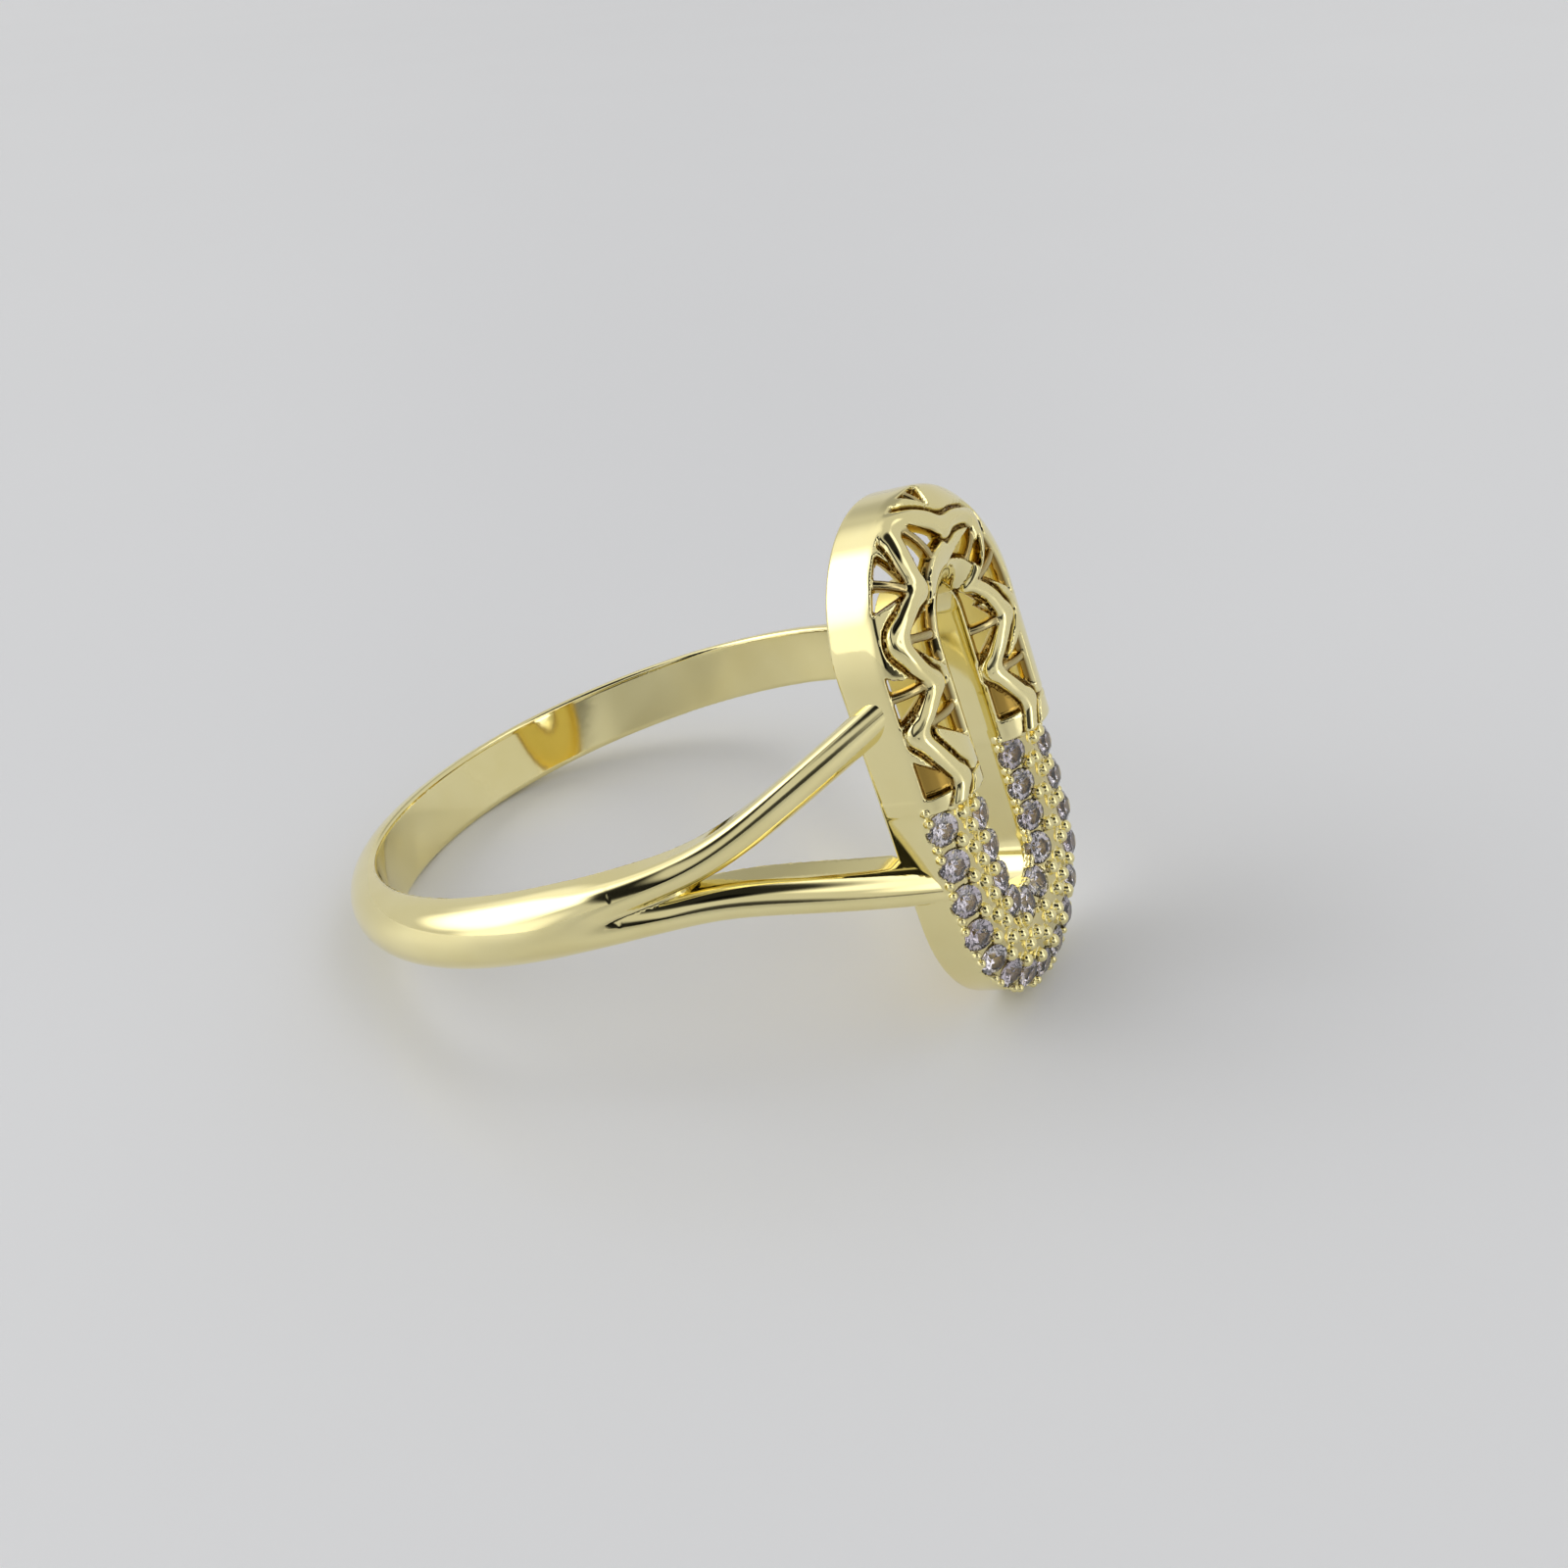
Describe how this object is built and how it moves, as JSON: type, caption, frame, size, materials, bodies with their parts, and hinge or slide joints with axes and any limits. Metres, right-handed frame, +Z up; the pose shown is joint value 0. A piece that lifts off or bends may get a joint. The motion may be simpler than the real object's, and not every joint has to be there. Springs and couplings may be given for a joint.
{
  "type": "finger ring",
  "caption": "Yellow gold finger ring: half-round band, split prongs and an elongated open loop head, half pierced, half set with two rows of round stones.",
  "frame": {"origin": "centre of the finger hole, half way along its length", "axes": "+Z up from the surface that the ring lies on, +X towards the head, +Y across; the finger hole's axis leans 18.0 degrees from +Z towards -X"},
  "size_m": [0.0223, 0.0196, 0.0139],
  "materials": {
    "gold": "polished",
    "zircon": "faceted, clear with a grey-mauve tint"
  },
  "bodies": {
    "root": {"metal": "gold", "stone_outer_01": "zircon", "stone_outer_02": "zircon", "stone_outer_03": "zircon", "stone_outer_04": "zircon", "stone_outer_05": "zircon", "stone_outer_06": "zircon", "stone_outer_07": "zircon", "stone_outer_08": "zircon", "stone_outer_09": "zircon", "stone_outer_10": "zircon", "stone_outer_11": "zircon", "stone_outer_12": "zircon", "stone_outer_13": "zircon", "stone_outer_14": "zircon", "stone_outer_15": "zircon", "stone_inner_01": "zircon", "stone_inner_02": "zircon", "stone_inner_03": "zircon", "stone_inner_04": "zircon", "stone_inner_05": "zircon", "stone_inner_06": "zircon", "stone_inner_07": "zircon", "stone_inner_08": "zircon", "stone_inner_09": "zircon", "stone_inner_10": "zircon"}
  },
  "joints": []
}
